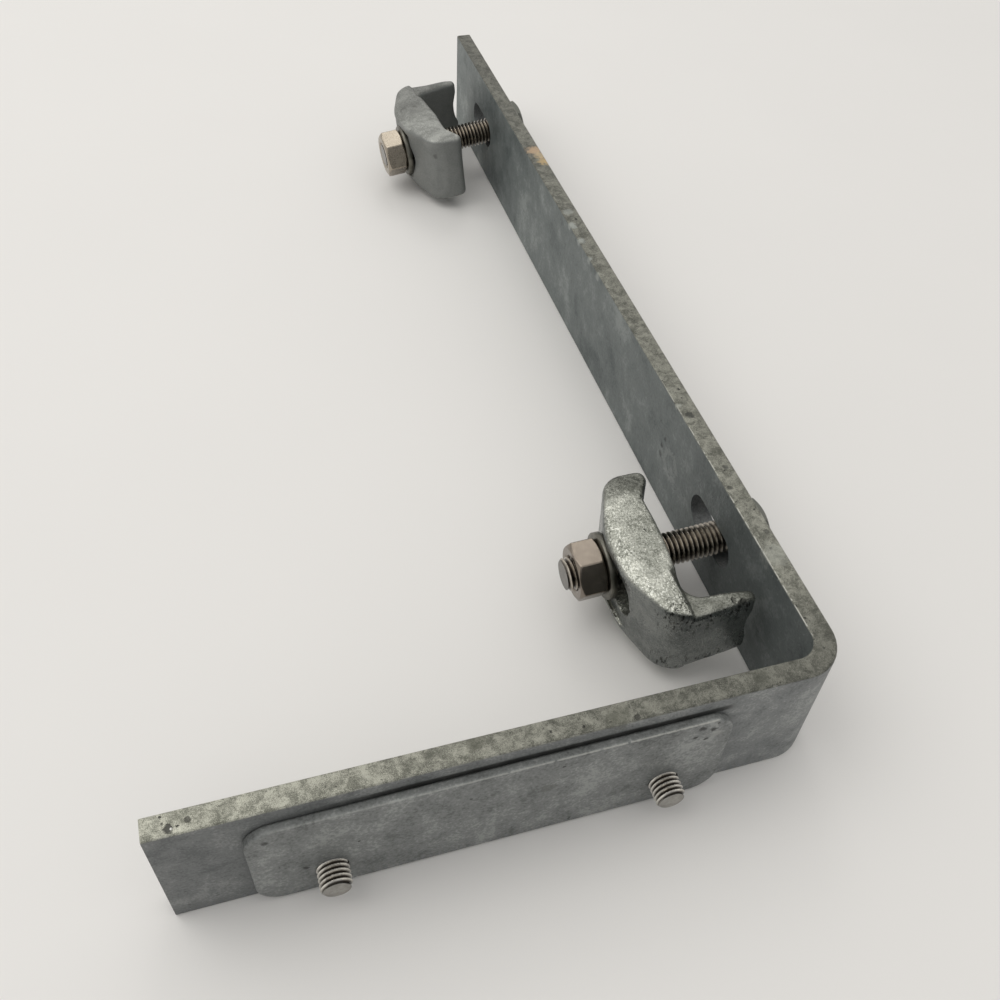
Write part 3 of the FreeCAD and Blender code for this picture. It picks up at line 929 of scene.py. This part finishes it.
def bridge(form: Form, rings: Sequence[Ring],
           closed: bool = False) -> list[list[Vertex]]:
    """Joins rings of points into a wall.

    Args:
        form: the mesh that the wall goes into.
        rings: rings with the same number of points, in order.
        closed: whether the last ring also joins the first.

    Returns:
        The wall's vertices, ring by ring.
    """
    rows = [[form.verts.new(point) for point in ring] for ring in rings]
    count = len(rings[0])
    for index in range(len(rows) if closed else len(rows) - 1):
        lower, upper = rows[index], rows[(index + 1) % len(rows)]
        for step in range(count):
            after = (step + 1) % count
            form.faces.new((lower[step], lower[after], upper[after], upper[step]))
    return rows


def smooth_share(value: float, low: float, high: float) -> float:
    """Returns a share that rises gently from 0 at low to 1 at high."""
    share = min(max((value - low) / (high - low), 0.0), 1.0)
    return share * share * (3 - 2 * share)


@dataclass(frozen=True)
class Thread:
    """A screw thread on a rod that lies on Z."""

    diameter: float
    pitch: float
    steps: int = 48
    form: tuple[tuple[float, float], ...] = (
        (0.0, 0.93), (0.03, 1.0), (0.10, 1.0), (0.13, 0.93), (0.50, 0.06), (0.565, 0.0), (0.63, 0.06))

    @property
    def depth(self) -> float:
        """Height of the thread over its root."""
        return THREAD_DEPTH_IN_PITCHES * self.pitch

    def share(self, turn: float) -> float:
        """Returns the thread's height, from 0 at its root to 1, a number of turns along."""
        place = turn % 1.0
        points = (*self.form, (1.0, self.form[0][1]))
        for (start, low), (end, high) in zip(points, points[1:]):
            if place <= end:
                return low + (high - low) * (place - start) / (end - start)
        return points[-1][1]

    def add_rod(self, form: Form, low: float, high: float, chamfer: float) -> None:
        """Adds a threaded rod whose lower end is chamfered.

        Args:
            form: the mesh that it goes into.
            low: height of its lower end.
            high: height of its upper end.
            chamfer: size of the chamfer on the lower end.
        """
        root = self.diameter / 2 - self.depth
        turns = math.ceil((high - low) / self.pitch) + 1
        heights = [turn - 1 + share for turn in range(turns + 1) for share, _ in self.form]
        rows = []
        for base in heights:
            row = []
            for step in range(self.steps + 1):
                part = step / self.steps
                height = min(max(low + self.pitch * (base + part), low), high)
                radius = root + self.depth * self.share((height - low) / self.pitch - part)
                radius = min(radius, self.diameter / 2 - chamfer + height - low)
                row.append(form.verts.new(polar(radius, 2 * math.pi * part, height)))
            rows.append(row)
        for lower, upper in zip(rows, rows[1:]):
            for step in range(self.steps):
                form.faces.new((lower[step], lower[step + 1], upper[step + 1], upper[step]))
        bmesh.ops.remove_doubles(form, verts=form.verts[:], dist=SAME_POINT)
        ends = [edge for edge in form.edges if edge.is_boundary]
        bmesh.ops.holes_fill(form, edges=ends, sides=0)


def finish_form(form: Form, name: str, place: Matrix, sharp: float = 35.0) -> Object:
    """Turns a mesh drawn in millimetres into a piece.

    Args:
        form: the drawn mesh, freed here.
        name: the piece's name.
        place: where the piece's own frame lies.
        sharp: angle in degrees over which an edge shows as sharp.

    Returns:
        The piece.
    """
    bmesh.ops.recalc_face_normals(form, faces=form.faces[:])
    bmesh.ops.scale(form, vec=(MM, MM, MM), verts=form.verts[:])
    mesh = bpy.data.meshes.new(name)
    form.to_mesh(mesh)
    form.free()
    mesh.polygons.foreach_set("use_smooth", [True] * len(mesh.polygons))
    mesh.set_sharp_from_angle(angle=math.radians(sharp))
    piece = put(name, mesh)
    piece.matrix_world = place
    return piece


def soften(piece: Object, width: float) -> None:
    """Breaks a piece's sharp edges by a width in millimetres."""
    bevel = piece.modifiers.new("broken_edges", "BEVEL")
    bevel.width = width * MM
    bevel.segments = 2
    bevel.limit_method = "ANGLE"
    bevel.angle_limit = math.radians(32)


def settle(piece: Object, material: Material, node: str) -> None:
    """Dresses a piece, rides it on the body and lets it stand for its CAD node."""
    piece.data.materials.clear()
    piece.data.materials.append(material)
    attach(piece, BODY)
    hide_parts(node)
    log.info("%s stands for %s", piece.name, node)


def box_middle(node: str) -> Vector:
    """Returns the middle of a CAD node's box, in metres."""
    low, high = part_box(node)
    return (low + high) / 2


def bolt_line(inner: Vector, outer: Vector) -> Matrix:
    """Frame of something that hangs on a bolt.

    Args:
        inner: a point on the bolt's line.
        outer: another, towards its head.

    Returns:
        A frame at the outer point, with X to the head and Z as upright as it can be.
    """
    along = (outer - inner).normalized()
    swing = math.atan2(along.y, along.x)
    tip = math.asin(along.z)
    turned = Matrix.Rotation(swing, 4, "Z") @ Matrix.Rotation(-tip, 4, "Y")
    return Matrix.Translation(outer) @ turned


TO_LINE = rotation(90, "Y")


@dataclass(frozen=True)
class HexBlock:
    """A hexagon with turned corners, as a nut or a bolt's head."""

    flats: float
    height: float
    bore: float = 0.0
    mouth_width: float = 0.55
    mouth_depth: float = 0.6
    face_share: float = 0.95
    count: int = 72

    def draw(self, form: Form, foot: float = 0.0) -> None:
        """Draws the block on Z from a height; a bored one is chamfered at both ends."""
        face = self.flats / 2 * self.face_share
        top = foot + self.height
        rings = [circle(face, top, self.count), hexagon_ring(self.flats, face, top, 1, self.count)]
        if self.bore:
            mouth = self.bore + self.mouth_width
            hole = [(face, foot), (mouth, foot), (self.bore, foot + self.mouth_depth),
                    (self.bore, top - self.mouth_depth)]
            rings = [circle(mouth, top, self.count), *rings,
                     hexagon_ring(self.flats, face, foot, -1, self.count),
                     *(circle(radius, height, self.count) for radius, height in hole)]
            bridge(form, rings, closed=True)
            return
        flat = hexagon_ring(self.flats, self.flats, foot, 1, self.count)
        rows = bridge(form, [*rings, flat])
        form.faces.new(rows[0])
        form.faces.new(reversed(rows[-1]))


@dataclass(frozen=True)
class FlatWasher:
    """A flat washer with rounded rims."""

    diameter: float
    hole: float
    thickness: float
    rim: float = 0.12
    count: int = 72

    def build(self, name: str, place: Matrix) -> Object:
        """Makes the washer on Z from its frame's origin."""
        outer, inner, top, rim = self.diameter / 2, self.hole / 2, self.thickness, self.rim
        outline = [(inner + rim, 0), (outer - rim, 0), (outer, rim), (outer, top - rim),
                   (outer - rim, top), (inner + rim, top), (inner, top - rim), (inner, rim)]
        form = bmesh.new()
        bridge(form, [circle(radius, height, self.count) for radius, height in outline], closed=True)
        return finish_form(form, name, place, 50.0)


@dataclass(frozen=True)
class Screw:
    """A threaded rod under a hexagon head, on Z."""

    thread: Thread
    length: float
    tip_chamfer: float
    head: HexBlock
    into_head: float = 0.2

    def build(self, name: str, place: Matrix) -> Object:
        """Makes the screw.

        Args:
            name: its name.
            place: a frame in the middle of the head's underside, with Z to the head.

        Returns:
            The screw.
        """
        form = bmesh.new()
        self.thread.add_rod(form, -self.length, self.into_head, self.tip_chamfer)
        self.head.draw(form)
        return finish_form(form, name, place)


@dataclass
class ClawSet:
    """A claw bolt with its two washers, its nut and its casting."""

    side: Side
    nut_turn: float
    head_turn: float
    claw_turn: float
    bolt: Screw = Screw(Thread(10.0, 1.5), 55.0, 0.6, HexBlock(16.0, 6.4))
    nut: HexBlock = HexBlock(16.0, 8.4, 5.05)
    nut_edge: float = 0.3
    washer: FlatWasher = FlatWasher(20.0, 10.5, 2.0)
    half_height: float = 13.7
    tail_step: float = 1.3
    shoulder_fall: float = 1.3
    step_rise: tuple[float, float] = (10.6, 12.2)
    step_fade: tuple[float, float] = (15.0, 28.0)
    tail_line: tuple[float, float] = (-18.5, -15.5)
    skin_cell: float = 0.38
    skin_passes: int = 9
    swells: tuple[tuple[float, float], ...] = ((7.0, 1.0), (2.2, 0.45))

    def node(self, part: str) -> str:
        """Returns the CAD node's name of one of the set's parts."""
        return f"{self.side.value}_{part}"

    def frame_at(self, part: str, shift: float) -> Matrix:
        """Frame on the bolt's line, a shift in millimetres from the middle of a washer."""
        line = bolt_line(box_middle(self.node("washer")), box_middle(self.node("head_washer")))
        line.translation = box_middle(self.node(part))
        return line @ Matrix.Translation((shift * MM, 0, 0))

    def build_bolt(self, material: Material) -> None:
        """Makes the threaded bolt with its head."""
        place = self.frame_at("head_washer", self.washer.thickness / 2)
        piece = self.bolt.build(self.node("bolt_threaded"), place @ TO_LINE @ rotation(self.head_turn, "Z"))
        settle(piece, material, self.node("bolt"))

    def build_nut(self, material: Material) -> None:
        """Makes the nut against the claw's washer."""
        form = bmesh.new()
        self.nut.draw(form)
        place = self.frame_at("washer", -self.washer.thickness / 2 - self.nut.height)
        place = place @ TO_LINE @ rotation(self.nut_turn, "Z")
        piece = finish_form(form, self.node("nut_satin"), place, 25.0)
        soften(piece, self.nut_edge)
        settle(piece, material, self.node("nut"))

    def build_washers(self, material: Material) -> None:
        """Makes the washers under the nut and under the head."""
        for part in ("washer", "head_washer"):
            place = self.frame_at(part, -self.washer.thickness / 2) @ TO_LINE
            piece = self.washer.build(self.node(part + "_satin"), place)
            settle(piece, material, self.node(part))

    def fall(self, spot: Vector) -> float:
        """Returns how far the claw's two faces lie under the plain casting's, in millimetres.

        Args:
            spot: a place in the claw's own frame, in millimetres.

        Returns:
            The step where the web ends at the tail, and the slope down to the back.
        """
        step = smooth_share(spot.x, *self.step_rise) * (1 - smooth_share(spot.x, *self.step_fade))
        step *= 1 - smooth_share(spot.y, *self.tail_line)
        slope = min(max((4.2 - spot.x) / 5.5, 0.0), 1.0) ** 1.5
        upper = smooth_share(abs(spot.z), self.half_height * 0.5, self.half_height * 0.85)
        return upper * (self.tail_step * step + self.shoulder_fall * slope)

    def build_casting(self, material: Material, roughness: float) -> None:
        """Makes the claw's cast surface from its CAD form.

        Args:
            material: the casting's finish.
            roughness: how far the cast skin wanders, in millimetres.
        """
        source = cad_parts[self.node("claw")]
        place = self.frame_at("washer", self.washer.thickness / 2)
        place = place @ rotation(self.claw_turn, "X")
        mesh = source.data.copy()
        mesh.transform(place.inverted())
        piece = put(self.node("claw_cast"), mesh)
        remesh = piece.modifiers.new("skin", "REMESH")
        remesh.mode = "VOXEL"
        remesh.voxel_size = self.skin_cell * MM
        smooth = piece.modifiers.new("cast_softness", "SMOOTH")
        smooth.factor = 0.5
        smooth.iterations = self.skin_passes
        graph = bpy.context.evaluated_depsgraph_get()
        cast = bpy.data.meshes.new_from_object(piece.evaluated_get(graph))
        piece.modifiers.clear()
        piece.data = cast
        shift = Vector((0.0, 0.0, 0.0 if self.side is Side.NEAR else 50.0))
        skin = [(vertex.co.copy(), vertex.normal.copy()) for vertex in cast.vertices]
        for vertex, (spot, normal) in zip(cast.vertices, skin):
            seed = spot / MM + shift
            swell = sum(noise.noise(seed / size) * strength for size, strength in self.swells)
            vertex.co = spot + normal * (swell * roughness * MM)
            vertex.co.z -= math.copysign(self.fall(spot / MM), spot.z) * MM
        cast.polygons.foreach_set("use_smooth", [True] * len(cast.polygons))
        piece.matrix_world = place
        settle(piece, material, self.node("claw"))


@dataclass
class PlateScrews:
    """The two screws that hold the tapped plate, with their washers."""

    screw: Screw = Screw(Thread(8.0, 1.25), 16.0, 0.7, HexBlock(13.0, 5.3))
    head_turn: float = 12.0
    washer: FlatWasher = FlatWasher(16.0, 8.4, 1.6, 0.1)

    def build(self, bright: Material, satin: Material) -> None:
        """Makes both screws and both washers.

        Args:
            bright: the screws' finish.
            satin: the washers' finish.
        """
        upright = rotation(-90, "X")
        for side in ("left", "right"):
            washer_node, screw_node = f"plate_washer_{side}", f"plate_screw_{side}"
            middle = box_middle(washer_node)
            half = Vector((0, self.washer.thickness / 2 * MM, 0))
            washer = self.washer.build(washer_node + "_satin", Matrix.Translation(middle - half) @ upright)
            settle(washer, satin, washer_node)
            place = Matrix.Translation(middle + half) @ upright @ rotation(self.head_turn, "Z")
            screw = self.screw.build(screw_node + "_threaded", place)
            settle(screw, bright, screw_node)


@dataclass
class Bar:
    """The bent bar and the plate on its short leg, whose CAD forms stay."""

    thickness: float = 6.0
    height: float = 40.0
    finish: BarFinish = BarFinish()
    plate_finish: PlateFinish = PlateFinish()

    def corner(self) -> Vector:
        """Returns the bar's outside corner on the floor, in millimetres."""
        low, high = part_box("l_bracket")
        return Vector((high.x, low.y, low.z)) / MM

    def dress(self, effects: Effects) -> None:
        """Gives the bar and the plate their zinc."""
        bar = self.finish.build(effects, self.corner(), self.height, self.thickness)
        low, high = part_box("clamp_plate")
        plate = self.plate_finish.build(effects, (low + high) / 2 / MM, (high - low) / 2 / MM)
        for node, material in (("l_bracket", bar), ("clamp_plate", plate)):
            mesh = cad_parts[node].data
            mesh.materials.clear()
            mesh.materials.append(material)
            log.info("%s wears %s", node, material.name)


@dataclass(frozen=True)
class Lamp:
    """A square soft lamp, in metres."""

    name: str
    place: Colour
    size: float
    power: float
    aim: Colour = (0.0, -0.03, 0.02)
    tint: Colour = (1.0, 0.985, 0.955)

    def build(self) -> None:
        """Hangs the lamp and turns it to what it lights."""
        lamp = bpy.data.lights.new(self.name, "AREA")
        lamp.shape = "SQUARE"
        lamp.size = self.size
        lamp.energy = self.power
        lamp.color = self.tint
        holder = put(self.name, lamp)
        holder.location = self.place
        holder.rotation_euler = (Vector(self.aim) - Vector(self.place)).to_track_quat("-Z", "Y").to_euler()


@dataclass
class Studio:
    """Pale floor, soft light and the camera."""

    floor_size: float = 40.0
    floor_tint: Colour = (0.80, 0.789, 0.772)
    sky_high: Colour = (1.0, 0.985, 0.955)
    sky_low: Colour = (0.56, 0.56, 0.565)
    sky_aim: Colour = (0.08, 0.45, 0.89)
    sky_strength: float = 0.86
    lamps: tuple[Lamp, ...] = (Lamp("left_lamp", (-0.75, 0.25, 1.25), 1.1, 5.6),
                               Lamp("back_lamp", (0.215, 0.706, 0.82), 0.30, 0.6))
    camera_from_corner: Colour = (-133.21, -110.61, 252.70)
    camera_turn: Colour = (40.515, -2.305, -16.653)
    lens: float = 37.98
    sensor: float = 36.0
    shift: tuple[float, float] = (0.001, 0.04)

    def build_floor(self, effects: Effects) -> None:
        """Lays the floor that the bracket stands on."""
        form = bmesh.new()
        bmesh.ops.create_grid(form, x_segments=1, y_segments=1, size=self.floor_size / 2 / MM)
        floor = finish_form(form, "floor", Matrix.Identity(4))
        skin = Skin("pale_floor", effects)
        darker = tuple(part * 0.97 for part in self.floor_tint)
        tint = skin.mix(skin.cloud(90.0, 3.0, 0.5), darker, self.floor_tint)
        skin.feed(skin.surface.inputs["Base Color"], tint)
        skin.surface.inputs["Roughness"].default_value = 0.7
        floor.data.materials.append(skin.material)

    def build_light(self) -> None:
        """Sets a sky that is brightest overhead and behind, and the soft lamps."""
        world = bpy.data.worlds.new("soft_sky")
        world.use_nodes = True
        graph = Graph(world.node_tree)
        towards = graph.coordinates("Generated").vector("DOT_PRODUCT", self.sky_aim, "Value")
        sky = world.node_tree.nodes["Background"]
        graph.feed(sky.inputs["Color"], graph.mix(towards.step(-0.15, 0.85), self.sky_low, self.sky_high))
        sky.inputs["Strength"].default_value = self.sky_strength
        bpy.context.scene.world = world
        for lamp in self.lamps:
            lamp.build()

    def build_camera(self, corner: Vector) -> None:
        """Sets the camera, placed from the bar's outside corner in millimetres."""
        camera = bpy.data.cameras.new("camera")
        camera.sensor_width = self.sensor
        camera.lens = self.lens
        camera.shift_x, camera.shift_y = self.shift
        camera.clip_start = 0.01
        holder = put("camera", camera)
        holder.location = (corner + Vector(self.camera_from_corner)) * MM
        holder.rotation_euler = [math.radians(angle) for angle in self.camera_turn]
        bpy.context.scene.camera = holder


def main() -> None:
    """Builds the studio and dresses every piece of the bracket."""
    logging.basicConfig(level=logging.INFO, format="%(message)s")
    bpy.context.scene.view_settings.view_transform = "Standard"
    effects = Effects()
    bar = Bar()
    studio = Studio()
    studio.build_floor(effects)
    studio.build_light()
    studio.build_camera(bar.corner())
    bar.dress(effects)

    near_marks = marks(
        (4.5, 3.1, 13.2, 1.4, 0.06, 0.061, 0.054, 0.8, -0.8),
        (3.8, -19.9, 13.2, 1.3, 0.05, 0.051, 0.045, 0.8, -0.8),
        (2.0, -3.0, 13.0, 1.0, 0.07, 0.071, 0.064, 0.7, -0.6),
        (15.2, 17.6, 13.0, 1.6, 0.08, 0.082, 0.07, 0.6, -0.5),
        (14.2, 10.4, 12.8, 1.5, 0.06, 0.062, 0.054, 0.6, -0.8),
        (26.4, -31.6, 12.0, 1.5, 0.06, 0.061, 0.055, 0.8, -0.8),
        (23.9, -30.3, 12.4, 1.0, 0.07, 0.071, 0.062, 0.8, -0.8))
    far_marks = marks(
        (17.0, 21.3, -12.8, 1.2, 0.46, 0.47, 0.44, 0.7, 1.0),
        (6.8, 22.7, -6.8, 1.3, 0.085, 0.088, 0.08, 0.6, -1.0),
        (2.0, -9.0, -13.4, 1.2, 0.09, 0.094, 0.082, 0.5, -0.6),
        (7.5, -8.0, -13.8, 1.2, 0.09, 0.094, 0.082, 0.5, -0.6))
    # The bolt steel's brightness is its own, and its warm brown tint is painted reflection of warm
    # surroundings.
    thread_steel = ThreadFinish("bolt_steel", (0.32, 0.290, 0.250), (0.72, 0.665, 0.580), 0.15, 0.26)
    bright_steel = ThreadFinish("screw_steel", (0.50, 0.475, 0.43), (0.90, 0.875, 0.81), 0.12, 0.22,
                                crest=4.0, root=3.35, end=-16.0, end_tone=0.5,
                                head=(0.56, 0.54, 0.49), head_dullness=0.3)
    washer_steel = SteelFinish("washer_steel", (0.10, 0.097, 0.083), (0.20, 0.193, 0.165), 0.26, 0.42)
    # The two nuts are one steel in painted copies: the near one is painted darker as painted shade, the far
    # one brighter as painted light, and their warm tint is painted reflection of warm surroundings.
    near_nut_shaded = SteelFinish("near_nut_shaded_steel", (0.215, 0.185, 0.155), (0.27, 0.235, 0.198), 0.20, 0.30, 0.012)
    far_nut_lit = SteelFinish("far_nut_lit_steel", (0.34, 0.300, 0.245), (0.42, 0.372, 0.306), 0.23, 0.32, 0.012)
    near_zinc = CastFinish(
        "near_cast_zinc",
        Mottle(((0.17, 0.176, 0.150), (0.35, 0.358, 0.316), (0.55, 0.558, 0.500)), 8.0, 1.15, 1.2),
        blemishes=near_marks)
    far_zinc = CastFinish(
        "far_cast_zinc",
        Mottle(((0.19, 0.195, 0.183), (0.27, 0.277, 0.260), (0.36, 0.368, 0.345)), 8.0, 1.15, 1.2),
        glint_share=0.1, pit_share=0.12, streaks=0.1, side=(0.235, 0.245, 0.237), side_light=0.88,
        nose_light=1.12, tail_light=0.95, back_light=0.72, grain_depth=0.10, roughness=(0.62, 0.42),
        metallic=0.45, blemishes=far_marks)
    threads, bright, satin = (finish.build(effects) for finish in (thread_steel, bright_steel, washer_steel))

    near = ClawSet(Side.NEAR, nut_turn=29.0, head_turn=28.0, claw_turn=0.0)
    far = ClawSet(Side.FAR, nut_turn=42.7, head_turn=35.0, claw_turn=178.3)
    for claw_set, zinc, nut, swell in ((near, near_zinc, near_nut_shaded, 0.12), (far, far_zinc, far_nut_lit, 0.09)):
        claw_set.build_bolt(threads)
        claw_set.build_nut(nut.build(effects))
        claw_set.build_washers(satin)
        claw_set.build_casting(zinc.build(effects), swell)
    PlateScrews().build(bright, satin)


if __name__ == "__main__":
    main()
